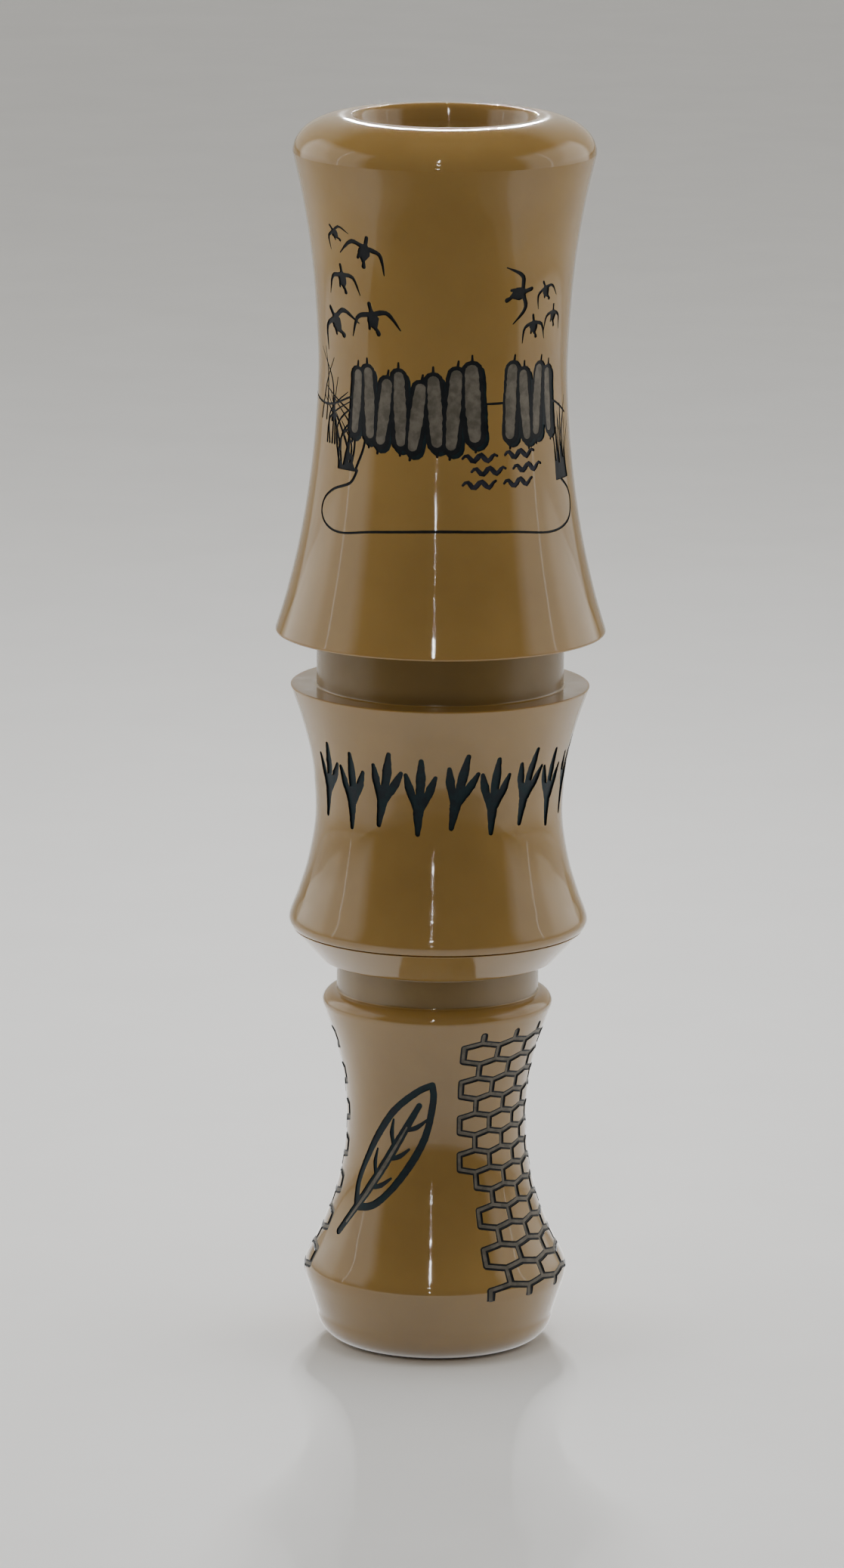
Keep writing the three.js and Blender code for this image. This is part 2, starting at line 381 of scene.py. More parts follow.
def nearest_segment(points, starts, spans):
    """For each (radius, height) point, the outline segment it lies on and how far away it is."""
    best = np.empty(len(points), int)
    gaps = np.empty(len(points))
    lengths = (spans**2).sum(1)
    for first in range(0, len(points), BLOCK):
        block = points[first : first + BLOCK, None, :]
        part = np.clip(((block - starts) * spans).sum(2) / lengths, 0, 1)
        gap = np.linalg.norm(starts + spans * part[:, :, None] - block, axis=2)
        best[first : first + BLOCK] = gap.argmin(1)
        gaps[first : first + BLOCK] = gap.min(1)
    return best, gaps


def turned_about(places, slopes):
    """Normals of a turned surface at some places, from the outline's direction at each."""
    radii = np.hypot(places[:, 0], places[:, 1])
    outward = places[:, :2] / np.maximum(radii, SAME_POINT)[:, None]
    return np.concatenate([slopes[:, 1:] * outward, -slopes[:, :1]], axis=1)


def in_section(places):
    """The (radius, height) of each place."""
    return np.stack([np.hypot(places[:, 0], places[:, 1]), places[:, 2]], axis=1)


def outline_segments(runs):
    """Every outline segment's start and span, and the outline's directions at its two ends."""
    starts = np.concatenate([points[:-1] for points, _ in runs])
    spans = np.concatenate([np.diff(points, axis=0) for points, _ in runs])
    out_slopes = np.concatenate([slopes[:-1] for _, slopes in runs])
    in_slopes = np.concatenate([slopes[1:] for _, slopes in runs])
    return starts, spans, out_slopes, in_slopes


def slopes_at(points, segment, segments):
    """The outline's direction at (radius, height) points that lie on known segments."""
    starts, spans, out_slopes, in_slopes = (values[segment] for values in segments)
    part = ((points - starts) * spans).sum(1) / (spans**2).sum(1)
    part = np.clip(part, 0, 1)[:, None]
    return out_slopes * (1 - part) + in_slopes * part


def turned_normals(obj, runs):
    """Gives the turned surface its exact normals, and leaves the walls of cuts flat."""
    segments = outline_segments(runs)
    starts, spans, out_slopes, in_slopes = segments
    mesh = obj.data
    flat = values_of(mesh.polygons, "normal", 3)
    centres = values_of(mesh.polygons, "center", 3) / MM
    corner_counts = values_of(mesh.polygons, "loop_total", kind=int)
    best, gaps = nearest_segment(in_section(centres), starts, spans)
    middle = out_slopes[best] + in_slopes[best]
    middle /= np.linalg.norm(middle, axis=1)[:, None]
    match = (turned_about(centres, middle) * flat).sum(1)
    on_surface = (match > SURFACE_MATCH) & (gaps < SURFACE_GAP)
    face = np.repeat(np.arange(len(mesh.polygons)), corner_counts)
    vertex = values_of(mesh.loops, "vertex_index", kind=int)
    places = values_of(mesh.vertices, "co", 3)[vertex] / MM
    result = turned_about(places, slopes_at(in_section(places), best[face], segments))
    result[~on_surface[face]] = flat[face][~on_surface[face]]
    mesh.polygons.foreach_set("use_smooth", np.ones(len(mesh.polygons), bool))
    mesh.normals_split_custom_set(result.tolist())
    mesh.update()


def apply_modifier(obj, modifier):
    """Makes a modifier's result the mesh itself."""
    with bpy.context.temp_override(object=obj, active_object=obj):
        bpy.ops.object.modifier_apply(modifier=modifier.name)


def apply_boolean(obj, cutter, operation="DIFFERENCE"):
    """Cuts with another closed mesh, or keeps what is inside it, and then removes that mesh."""
    modifier = obj.modifiers.new("cut", "BOOLEAN")
    modifier.operation = operation
    modifier.solver = "MANIFOLD"
    modifier.material_mode = "TRANSFER"
    modifier.object = cutter
    apply_modifier(obj, modifier)
    bpy.data.objects.remove(cutter)


def is_stray(face):
    """True for a face that hangs on the closed surface by one edge, or fills a pinched place."""
    counts = [len(edge.link_faces) for edge in face.edges]
    return 1 in counts or all(count % 2 for count in counts)


def clean_cuts(obj):
    """Welds the points that cutting leaves almost on each other, and removes stray faces."""
    mesh = bmesh.new()
    mesh.from_mesh(obj.data)
    bmesh.ops.triangulate(mesh, faces=mesh.faces)
    bmesh.ops.remove_doubles(mesh, verts=mesh.verts, dist=WELD_GAP * MM)
    while stray := [face for face in mesh.faces if is_stray(face)]:
        bmesh.ops.delete(mesh, geom=stray, context="FACES")
    mesh.to_mesh(obj.data)
    mesh.free()


# --- Drawing on the unrolled surface ---


def resampled(path, step):
    """The path with evenly spaced points."""
    path = np.array(path, float)
    lengths = np.concatenate([[0], np.cumsum(np.linalg.norm(np.diff(path, axis=0), axis=1))])
    stations = np.linspace(0, lengths[-1], max(int(lengths[-1] / step), 2) + 1)
    return np.stack([np.interp(stations, lengths, path[:, k]) for k in (0, 1)], axis=1)


def stroke(path, widths, ragged=0.04, step=STROKE_STEP):
    """The outline of a pen stroke with round ends. Widths are spread evenly along it."""
    path = resampled(path, step)
    along = tangents(path)
    side = np.stack([-along[:, 1], along[:, 0]], axis=1)
    stations = np.linspace(0, 1, len(widths))
    half = np.interp(np.linspace(0, 1, len(path)), stations, widths)[:, None] / 2
    wobble = [[1 + random.uniform(-ragged, ragged)] for _ in path]
    left = path + side * half * wobble
    right = path - side * half * wobble[::-1]
    turn = np.linspace(0, math.pi, 7)[1:-1, None]
    end_cap = path[-1] + half[-1] * (side[-1] * np.cos(turn) + along[-1] * np.sin(turn))
    start_cap = path[0] - half[0] * (side[0] * np.cos(turn) + along[0] * np.sin(turn))
    return np.concatenate([left, end_cap, right[::-1], start_cap])


def placed(points, place, size=1.0, lean=0.0):
    """Drawing points, scaled, leaned to the right by so many degrees and moved to a place."""
    points = np.array(points, float) * size
    c, s = math.cos(math.radians(lean)), math.sin(math.radians(lean))
    turned = np.stack([points[:, 0] * c + points[:, 1] * s, points[:, 1] * c - points[:, 0] * s])
    return turned.T + np.array(place, float)


def unrolled(reference, degrees, height):
    """Where a point at an angle from the front lies on the unrolled surface."""
    return (math.radians(degrees) * reference, height)


def united(polygons):
    """Merges overlapping closed outlines into one set of triangles."""
    vertices, faces = [], []
    low = np.min([polygon.min(0) for polygon in polygons], axis=0)
    high = np.max([polygon.max(0) for polygon in polygons], axis=0)
    for x in np.arange(low[0], high[0], GRID_STEP):
        vertices += [Vector((x, y)) for y in np.arange(low[1], high[1], GRID_STEP)]
    for polygon in polygons:
        x, y = polygon.T
        area = (x * np.roll(y, -1) - np.roll(x, -1) * y).sum()
        ordered = polygon if area > 0 else polygon[::-1]
        faces.append(list(range(len(vertices), len(vertices) + len(ordered))))
        vertices += [Vector(p) for p in ordered]
    found = delaunay_2d_cdt(vertices, [], faces, 1, SAME_POINT, True)
    points, triangles, sources = found[0], found[2], found[5]
    return [tuple(p) for p in points], [t for t, source in zip(triangles, sources) if source]


def graver(polygons, reference, radius_at, depth, wall_ink, floor_ink):
    """A closed cutter in the shape of the drawing, down to a depth below the surface."""
    points, triangles = united(polygons)
    count = len(points)
    vertices = []
    for lift in (CUT_START, -depth):
        for x, z in points:
            radius = radius_at(z) + lift
            angle = x / reference
            vertices.append((radius * math.sin(angle), -radius * math.cos(angle), z))
    edges = dict.fromkeys(e for a, b, c in triangles for e in ((a, b), (b, c), (c, a)))
    walls = [edge for edge in edges if edge[::-1] not in edges]
    faces = [list(t) for t in triangles]
    faces += [[c + count, b + count, a + count] for a, b, c in triangles]
    faces += [[a, a + count, b + count, b] for a, b in walls]
    cutter = mesh_object("graver", vertices, faces, [wall_ink, floor_ink])
    for floor in cutter.data.polygons[len(triangles) : 2 * len(triangles)]:
        floor.material_index = 1
    return cutter


def engrave(obj, drawing, reference, radius_at):
    """Cuts a drawing into a turned piece, layer by layer, from the shallowest to the deepest."""
    for polygons, depth, wall_ink, floor_ink in drawing:
        apply_boolean(obj, graver(polygons, reference, radius_at, depth, wall_ink, floor_ink))


# --- What is drawn ---

# The radius at which each surface is unrolled, so that a stroke there keeps its true width.
BARREL_REFERENCE = 14.3
SPOOL_REFERENCE = 14.5
BELL_REFERENCE = 11.0

# Birds: degrees from the front, height, size, lean, and how far the wings hang.
BIRDS = [
    (-52.5, 131.3, 0.72, -35, 15),
    (-36.1, 129.6, 1.15, 20, 12),
    (-50.3, 126.1, 1.05, -3, 20),
    (-56.8, 120.9, 1.3, -32, 12),
    (-33.4, 121.9, 1.2, -10, 12),
    (35.2, 125.0, 1.15, 80, 5),
    (51.2, 124.9, 0.78, -22, 25),
    (58.2, 121.9, 0.8, 4, 32),
    (44.6, 121.0, 0.85, -4, 30),
]


def bent_wing(side, hang):
    """A wing from the shoulder, out to its bend and down to its tip."""
    path = [np.array((0.35 * side, 0.45))]
    for degrees, length in ((8 - hang, 1.35), (-48 - hang, 2.0)):
        angle = math.radians(degrees)
        path.append(path[-1] + length * np.array((side * math.cos(angle), math.sin(angle))))
    return smooth(path, 6)


def bird(place, size, lean, hang):
    """A duck coming in to land: head, plump body, feet and a pair of long bent wings."""
    shapes = [
        (smooth([(0, 0.55), (0.03, -0.2), (0.15, -0.95)], 6), (0.7, 1.5, 1.15, 0.4)),
        ([(0.0, 0.7), (-0.08, 1.5)], (0.42, 0.4)),
        ([(-0.4, -0.3), (-0.5, -0.85)], (0.4, 0.3)),
        ([(0.2, -0.8), (0.38, -1.45)], (0.25, 0.5)),
        (bent_wing(-1, hang), (0.5, 0.45, 0.3, 0.12)),
        (bent_wing(1, hang), (0.5, 0.45, 0.3, 0.12)),
    ]
    return [stroke(placed(p, place, size, lean), np.array(w) * size, 0.1) for p, w in shapes]


# How far a drop shadow is moved from its drawing: to the right, and up.
SHADOW_SHIFT = (0.34, -0.42)

# Cattail heads: degrees from the front, foot, top, width, lean.
HEADS = [
    (-43.5, 108.4, 116.0, 1.3, 3),
    (-36.0, 108.0, 116.4, 1.45, -4),
    (-28.0, 107.4, 115.3, 1.55, 6),
    (-20.0, 107.4, 116.2, 1.5, -3),
    (-12.0, 106.9, 115.0, 1.55, 7),
    (-3.5, 107.4, 115.9, 1.65, -4),
    (5.0, 107.1, 116.6, 1.6, 4),
    (14.0, 107.9, 117.2, 1.9, -3),
    (33.0, 108.1, 117.0, 1.55, 3),
    (41.0, 107.9, 116.2, 1.4, -4),
    (49.0, 108.3, 116.6, 1.35, 5),
    (57.0, 108.5, 116.0, 1.15, -2),
]


def cattail(degrees, foot, top, width, lean):
    """One cattail head: its drop shadow, its rim with the spike above it, and its floor."""
    place = unrolled(BARREL_REFERENCE, degrees, (foot + top) / 2)
    half = (top - foot) / 2 - width / 2
    core = placed([(0, -half), (0, half)], place, lean=lean)
    spike = placed([(0, half), (0.1, half + width / 2 + 0.9)], place, lean=lean)
    stalk = placed([(0, -half), (-0.05, -half - width / 2 - 0.8)], place, lean=lean)
    shadow = stroke(core + np.array(SHADOW_SHIFT), [width + 0.7])
    rim = [stroke(core, [width + 0.75]), stroke(spike, [0.5, 0.25]), stroke(stalk, [0.5, 0.3])]
    floor = stroke(core, [width * 0.75, width, width * 0.85], 0.08)
    return shadow, rim, floor


# Ripples on the water: from and to degrees, height.
RIPPLES = [
    (9, 25, 106.4),
    (29, 45, 106.6),
    (13, 29, 104.9),
    (33, 49, 105.0),
    (9, 24, 103.4),
    (28, 43, 103.4),
]


def ripple(start, end, height):
    """A wavy line along the water."""
    steps = np.linspace(0, 1, 24)
    degrees = start + (end - start) * steps
    wave = 0.36 * np.sin(steps * (end - start) * 0.95)
    path = [unrolled(BARREL_REFERENCE, d, height + w) for d, w in zip(degrees, wave)]
    return stroke(path, [0.3, 0.6, 0.65, 0.6, 0.3], 0.1)


# The line of the shore, and the stretches of the skyline, in degrees and height.
SHORE = [(-40.6, 104.4), (-44.0, 102.9), (-54.0, 101.9), (-60.5, 100.6), (-61.5, 99.0)]
SHORE += [(-56.0, 97.7), (-46.0, 97.2), (-28.0, 97.8), (0.0, 98.2), (30.0, 97.9)]
SHORE += [(52.0, 97.3), (66.0, 98.0), (71.5, 99.6), (71.0, 101.4), (64.0, 103.0)]
HORIZON = [
    [(-96, 112.0), (-66, 111.2), (-47, 112.6)],
    [(20, 112.5), (34, 112.5)],
    [(58, 112.3), (66, 111.4), (74, 110.2)],
]

# Clumps of reeds: degrees and height of the root, blades, spread in degrees, tallest blade.
CLUMPS = [
    (-47, 104.4, 12, -40, 9.5),
    (-58, 107.0, 6, -26, 8.0),
    (-66, 109.5, 3, -12, 10.5),
    (66, 103.0, 12, 20, 9.4),
]


def on_barrel(points):
    """Points at (degrees, height), on the barrel's unrolled surface."""
    return [unrolled(BARREL_REFERENCE, degrees, height) for degrees, height in points]


def reeds(base_degrees, base_height, count, spread, tallest):
    """A clump of thin curved blades growing from one spot."""
    shapes = []
    for index in range(count):
        part = index / (count - 1)
        root = base_degrees + (part - 0.5) * 11
        tip = base_degrees + (part - 0.5) * spread + random.uniform(-3, 3)
        height = tallest * random.uniform(0.55, 1.0)
        bend = random.uniform(-0.2, 0.5)
        middle = root + (tip - root) * bend
        blade = [(root, 0), (middle, height * 0.55), (tip, height)]
        path = on_barrel((degrees, base_height + rise) for degrees, rise in blade)
        shapes.append(stroke(smooth(path, 8), [0.36, 0.26, 0.12]))
    return shapes


def barrel_scene(inks):
    """Birds over a marsh: layers of outlines, their depth, and the inks of walls and floor."""
    shadows, lines, floors = [], [], []
    for degrees, height, size, lean, hang in BIRDS:
        lines += bird(unrolled(BARREL_REFERENCE, degrees, height), size, lean, hang)
    for head in HEADS:
        shadow, rim, floor = cattail(*head)
        shadows.append(shadow)
        lines += rim
        floors.append(floor)
    lines.append(stroke(smooth(on_barrel(SHORE), 8), [0.36, 0.26, 0.34, 0.26, 0.36]))
    for path in HORIZON:
        lines.append(stroke(smooth(on_barrel(path), 8), [0.24, 0.3, 0.24]))
    for clump in CLUMPS:
        lines += reeds(*clump)
    dark = inks["dark"]
    return [
        (shadows, SHADOW_DEPTH, inks["teal"], inks["teal"]),
        (lines, LINE_DEPTH, dark, dark),
        ([ripple(*row) for row in RIPPLES], LINE_DEPTH, dark, inks["blue"]),
        (floors, FLOOR_DEPTH, dark, inks["grey"]),
    ]


# Footprints round the spool: how many, the first one's place and the step in degrees, and size.
FOOTPRINT_COUNT = 9
FIRST_FOOTPRINT = -61.0
FOOTPRINT_STEP = 17.2
FOOTPRINT_SIZE = 1.12


def footprint(place, lean):
    """A bird's footprint: three toes and a spur."""
    middle_toe = smooth([(0, -0.9), (0.05, 2.0), (0, 4.9)], 6)
    shapes = [(middle_toe, (1.2, 1.0, 1.15, 0.55)), ([(0, -0.5), (0.1, -2.9)], (1.3, 0.6))]
    for side in (-1, 1):
        toe = smooth([(0, -0.5), (0.85 * side, 1.2), (1.5 * side, 3.2)], 6)
        shapes.append((toe, (1.1, 0.9, 1.05, 0.5)))
    size = FOOTPRINT_SIZE
    return [stroke(placed(path, place, size, lean), widths, 0.07) for path, widths in shapes]


def spool_scene(inks):
    """A trail of footprints: left and right ones differ in height and lean."""
    lines = []
    for index in range(FOOTPRINT_COUNT):
        degrees = FIRST_FOOTPRINT + FOOTPRINT_STEP * index
        height, lean = ((66.8, 12), (66.1, 4))[index % 2]
        lines += footprint(unrolled(SPOOL_REFERENCE, degrees, height), lean)
    return [(lines, BOLD_DEPTH, inks["dark"], inks["teal"])]


def feather(inks):
    """A feather with a bold outline, leaning to the right."""
    place = unrolled(BELL_REFERENCE, -31, 23.8)
    lean = 31
    right = [(0, -7.6), (1.9, -5.6), (2.75, -1.2), (2.7, 4.2), (1.3, 8.6), (0.1, 10.4)]
    left = [(0, -7.6), (-1.9, -5.2), (-2.6, -0.6), (-2.3, 4.6), (-1.0, 8.6), (0.1, 10.4)]
    quill = smooth([(0.15, -11.2), (0, -7.6), (0.1, 0), (0.1, 7.4)], 8)
    shapes = [(smooth(edge, 8), (0.9, 0.85, 0.95, 0.85, 0.8)) for edge in (right, left)]
    shapes.append((quill, (0.9, 1.15, 1.1, 0.7)))
    for side, height in ((1, -4.6), (-1, -3.0), (1, -0.4), (-1, 1.4), (1, 3.8)):
        barb = [(0.15 * side, height), (1.15 * side, height + 1.1), (1.75 * side, height + 2.6)]
        shapes.append((smooth(barb, 6), (0.5, 0.6, 0.3)))
    lines = [stroke(placed(path, place, 1, lean), widths) for path, widths in shapes]
    core = [stroke(placed(quill[4:-4], place, 1, lean), (0.3, 0.5, 0.45, 0.2))]
    return [
        (lines, LINE_DEPTH, inks["dark"], inks["teal"]),
        (core, FLOOR_DEPTH, inks["dark"], inks["grey"]),
    ]


# Honeycomb: column step in degrees, height of a cell's side, rise of its roof, the first cell's
# place and the size of the patch.
COLUMN_STEP = 10.4
CELL_SIDE = 1.725
CELL_RISE = 0.45
FIRST_COLUMN = 25.3
FIRST_ROW = 36.4
COLUMNS = 25
ROWS = 7


def cell_corners(column, row):
    """The six corners of a cell, in degrees and millimetres."""
    pitch = 2 * (CELL_SIDE + CELL_RISE)
    degrees = FIRST_COLUMN + COLUMN_STEP * column
    height = FIRST_ROW - pitch * row - (pitch / 2 if column % 2 else 0)
    side, apex = CELL_SIDE / 2, CELL_SIDE / 2 + CELL_RISE
    left, right = degrees - COLUMN_STEP, degrees + COLUMN_STEP
    return [
        (left, height - side),
        (left, height + side),
        (degrees, height + apex),
        (right, height + side),
        (right, height - side),
        (degrees, height - apex),
    ]


def has_cell(column, row):
    """The patch is ragged: its edge steps in at the lower left and wanders along the foot."""
    if column == 0 and row > 3:
        return False
    if column < 0 or column >= COLUMNS or row < 0 or row >= ROWS:
        return False
    return not (row == ROWS - 1 and (column * 7) % 5 < 2)


def honeycomb_edges():
    """Every wall of the cells once, and short spikes along the top and bottom of the patch."""
    edges = {}
    for column in range(COLUMNS):
        for row in range(ROWS):
            if not has_cell(column, row):
                continue
            corners = cell_corners(column, row)
            for start, end in zip(corners, corners[1:] + corners[:1]):
                key = frozenset((tuple(np.round(start, 2)), tuple(np.round(end, 2))))
                edges[key] = (start, end)
            top, foot = corners[2], corners[5]
            if not has_cell(column, row - 1):
                edges[frozenset((top, "up"))] = (top, (top[0], top[1] + CELL_SIDE * 0.55))
            if not has_cell(column, row + 1):
                edges[frozenset((foot, "down"))] = (foot, (foot[0], foot[1] - CELL_SIDE * 0.55))
    return list(edges.values())


def honeycomb(inks):
    """The walls of the cells: a broad dark line with a narrow grey floor."""
    lines, floors = [], []
    for start, end in honeycomb_edges():
        path = [unrolled(BELL_REFERENCE, *start), unrolled(BELL_REFERENCE, *end)]
        lines.append(stroke(path, [0.78], step=WALL_STEP))
        floors.append(stroke(path, [0.36], ragged=0.1, step=WALL_STEP))
    dark = inks["dark"]
    return [(lines, LINE_DEPTH, dark, dark), (floors, FLOOR_DEPTH, dark, inks["grey"])]


# --- Materials ---


def new_material(name):
    """A material, its node tree and its shader."""
    material = bpy.data.materials.new(name)
    material.use_nodes = True
    tree = material.node_tree
    return material, tree, tree.nodes["Principled BSDF"]


def set_inputs(node, inputs):
    """Sets constant values on a node's inputs."""
    for name, value in inputs.items():
        node.inputs[name].default_value = value


def add(tree, kind, **inputs):
    """A node with some of its inputs set."""
    node = tree.nodes.new(kind)
    set_inputs(node, inputs)
    return node


def object_place(tree, scale=(1, 1, 1)):
    """Object coordinates in metres, stretched by a scale."""
    place = tree.nodes.new("ShaderNodeTexCoord")
    mapping = add(tree, "ShaderNodeMapping", Scale=scale)
    tree.links.new(place.outputs["Object"], mapping.inputs["Vector"])
    return mapping.outputs["Vector"]


def noise(tree, place, scale, detail=3.0, rough=0.55):
    """Noise of so many cycles to the metre."""
    node = add(tree, "ShaderNodeTexNoise", Scale=scale, Detail=detail, Roughness=rough)
    tree.links.new(place, node.inputs["Vector"])
    return node.outputs["Fac"]


def ramp(tree, value, stops):
    """A colour ramp; each stop is (position, colour)."""
    node = tree.nodes.new("ShaderNodeValToRGB")
    while len(node.color_ramp.elements) < len(stops):
        node.color_ramp.elements.new(0.5)
    for element, (position, colour) in zip(node.color_ramp.elements, stops):
        element.position = position
        element.color = (*colour, 1)
    tree.links.new(value, node.inputs["Fac"])
    return node.outputs["Color"]


def spread(tree, value, low, high, start=0.3, end=0.7):
    """Maps a noise value to a range."""
    node = tree.nodes.new("ShaderNodeMapRange")
    set_inputs(node, {"From Min": start, "From Max": end, "To Min": low, "To Max": high})
    tree.links.new(value, node.inputs["Value"])
    return node.outputs["Result"]


def calculate(tree, operation, *values):
    """A math node whose inputs are other nodes' outputs or plain numbers."""
    node = tree.nodes.new("ShaderNodeMath")
    node.operation = operation
    for socket, value in zip(node.inputs, values):
        if isinstance(value, (int, float)):
            socket.default_value = value
        else:
            tree.links.new(value, socket)
    return node.outputs[0]


def bump(tree, shader, height, strength, distance):
    """A fine relief in the shader's normal."""
    node = add(tree, "ShaderNodeBump", Strength=strength, Distance=distance)
    tree.links.new(height, node.inputs["Height"])
    tree.links.new(node.outputs["Normal"], shader.inputs["Normal"])


def acrylic(name, light, dark, gloss, lathe=0.0):
    """Cast acrylic: cloudy colour, a little light inside, polish with faint turning marks."""
    material, tree, shader = new_material(name)
    place = object_place(tree)
    cloud = noise(tree, place, 45.0, 4.0)
    colour = ramp(tree, cloud, [(0.35, dark), (0.65, light)])
    tree.links.new(colour, shader.inputs["Base Color"])
    set_inputs(shader, {"IOR": 1.49, "Subsurface Weight": 0.25})
    set_inputs(shader, {"Subsurface Radius": (1.0, 0.5, 0.2), "Subsurface Scale": 0.002})
    smears = noise(tree, place, 220.0, 5.0, 0.7)
    rough = spread(tree, smears, gloss[0], gloss[1])
    tree.links.new(rough, shader.inputs["Roughness"])
    rings = noise(tree, object_place(tree, (20, 20, 9000)), 1.0, 4.0, 0.7)
    fine = noise(tree, place, 5000.0, 2.0)
    marks = calculate(tree, "MULTIPLY_ADD", rings, 1.0 + lathe, fine)
    bump(tree, shader, marks, 0.08, 0.00001)
    return material


def grainy(name, scale, stops, rough, detail=4.0, coarse=0.55):
    """A material whose colour and roughness follow one noise, and what to build on it."""
    material, tree, shader = new_material(name)
    place = object_place(tree)
    grain = noise(tree, place, scale, detail, coarse)
    tree.links.new(ramp(tree, grain, stops), shader.inputs["Base Color"])
    tree.links.new(spread(tree, grain, *rough), shader.inputs["Roughness"])
    return material, tree, shader, place, grain


def ink(name, light, dark, rough):
    """Paint rubbed into the engraving, a little uneven."""
    stops = [(0.38, dark), (0.62, light)]
    material, tree, shader, place, _ = grainy(name, 900.0, stops, (rough, rough + 0.15))
    set_inputs(shader, {"IOR": 1.3})
    bump(tree, shader, noise(tree, place, 3500.0), 0.35, 0.00003)
    return material


def rubber():
    """Black rubber with a slight sheen."""
    stops = [(0.3, (0.006, 0.006, 0.006)), (0.7, (0.018, 0.018, 0.019))]
    material, tree, shader, _, grain = grainy("nitrile_rubber", 2500.0, stops, (0.4, 0.6))
    bump(tree, shader, grain, 0.3, 0.00002)
    return material


def mylar():
    """Hazy film that lets a little light through."""
    stops = [(0.3, (0.62, 0.64, 0.6)), (0.7, (0.74, 0.76, 0.72))]
    material, tree, shader, place, _ = grainy("mylar_film", 300.0, stops, (0.12, 0.3))
    set_inputs(shader, {"Transmission Weight": 0.2, "IOR": 1.6})
    bump(tree, shader, noise(tree, place, 400.0), 0.04, 0.00001)
    return material


def cork():
    """Brown grains with small pits."""
    stops = [(0.3, (0.16, 0.075, 0.03)), (0.48, (0.42, 0.24, 0.11)), (0.7, (0.56, 0.36, 0.19))]
    material, tree, shader, place, _ = grainy("cork", 700.0, stops, (0.75, 0.95), 6.0, 0.65)
    cells = add(tree, "ShaderNodeTexVoronoi", Scale=1400.0)
    tree.links.new(place, cells.inputs["Vector"])
    bump(tree, shader, cells.outputs["Distance"], 0.6, 0.0001)
    return material


def floor_material():
    """Matt pale paper."""
    material, tree, shader = new_material("pale_floor")
    grain = noise(tree, object_place(tree), 40.0, 4.0)
    colour = ramp(tree, grain, [(0.3, (0.77, 0.77, 0.76)), (0.7, (0.8, 0.8, 0.79))])
    tree.links.new(colour, shader.inputs["Base Color"])
    set_inputs(shader, {"Roughness": 0.7})
    return material


# --- Camera, floor and lights ---

# The camera, in metres and degrees; its lens in millimetres.
CAMERA_DISTANCE = 1.021
CAMERA_PITCH = 11.75
CAMERA_ROLL = 0.487
CAMERA_AIM_HEIGHT = 0.0658
CAMERA_SIDE = -0.00199
CAMERA_LENS = 202.8

# The angle at which the camera looks down on the rim, and how far the rim leans where it glints.
RIM_VIEW_RISE = 7.4
RIM_TILT = 9
RIM_LED_DISTANCE = 0.5

# The floor, in millimetres: how far it reaches, and where its front part begins.
FLOOR_REACH = 8000
FLOOR_SPLIT_Y = -150

# The tent's sides, in metres: place, largest layer, how much smaller each next one is.
TENT_PLACE = (0.42, 0.14, 0.27)
TENT_LAYERS = 8
TENT_SIZE = (0.765, 0.54)
TENT_SHRINK = (0.025, 0.03)
TENT_RADIANCE = 0.175

# The glare of the floor: smallest layer, how much larger each next one is.
GLARE_LAYERS = 5
GLARE_SIZE = (0.42, 0.16)
GLARE_GROWTH = (0.05, 0.06)
GLARE_RADIANCE = 0.2

# The lamps in front, a little to the left: elevation, size and radiance of each.
LAMP_BEARING = -5
LAMP_AIM_HEIGHT = 0.07
SMALL_LAMPS = [(8, (0.01, 0.05), 90.0), (24, (0.016, 0.016), 200.0), (38, (0.012, 0.12), 110.0)]


def add_camera():
    """A long lens a metre away, looking down on the call and rolled a trace."""
    data = bpy.data.cameras.new("camera")
    data.lens = CAMERA_LENS
    data.sensor_width = 36
    data.clip_end = 20
    camera = new_object("camera", data)
    pitch = math.radians(CAMERA_PITCH)
    back = CAMERA_DISTANCE * math.cos(pitch)
    rise = CAMERA_DISTANCE * math.sin(pitch)
    camera.location = (CAMERA_SIDE, -back, CAMERA_AIM_HEIGHT + rise)
    tilt = Matrix.Rotation(math.pi / 2 - pitch, 3, "X")
    roll = Matrix.Rotation(math.radians(CAMERA_ROLL), 3, "Z")
    camera.rotation_euler = (tilt @ roll).to_euler()
    bpy.context.scene.camera = camera


def area_light(name, place, aim, size, radiance):
    """A rectangular light that the camera doesn't see. Radiance is per steradian."""
    data = bpy.data.lights.new(name, "AREA")
    data.shape = "RECTANGLE"
    data.size, data.size_y = size
    data.energy = radiance * math.pi * size[0] * size[1]
    light = new_object(name, data)
    light.location = place
    direction = Vector(aim) - Vector(place)
    light.rotation_euler = direction.to_track_quat("-Z", "Y").to_euler()
    light.visible_camera = False
    return light


def add_floor():
    """A plain pale floor. The gloss doesn't mirror its front part, which keeps its colour deep."""
    pale = floor_material()
    far, edge = FLOOR_REACH, FLOOR_SPLIT_Y
    for name, low, high in (("floor", edge, far), ("floor_in_front", -far, edge)):
        corners = [(-far, low, 0), (far, low, 0), (far, high, 0), (-far, high, 0)]
        floor = mesh_object(name, corners, [[0, 1, 2, 3]], [pale])
        floor.visible_glossy = name == "floor"


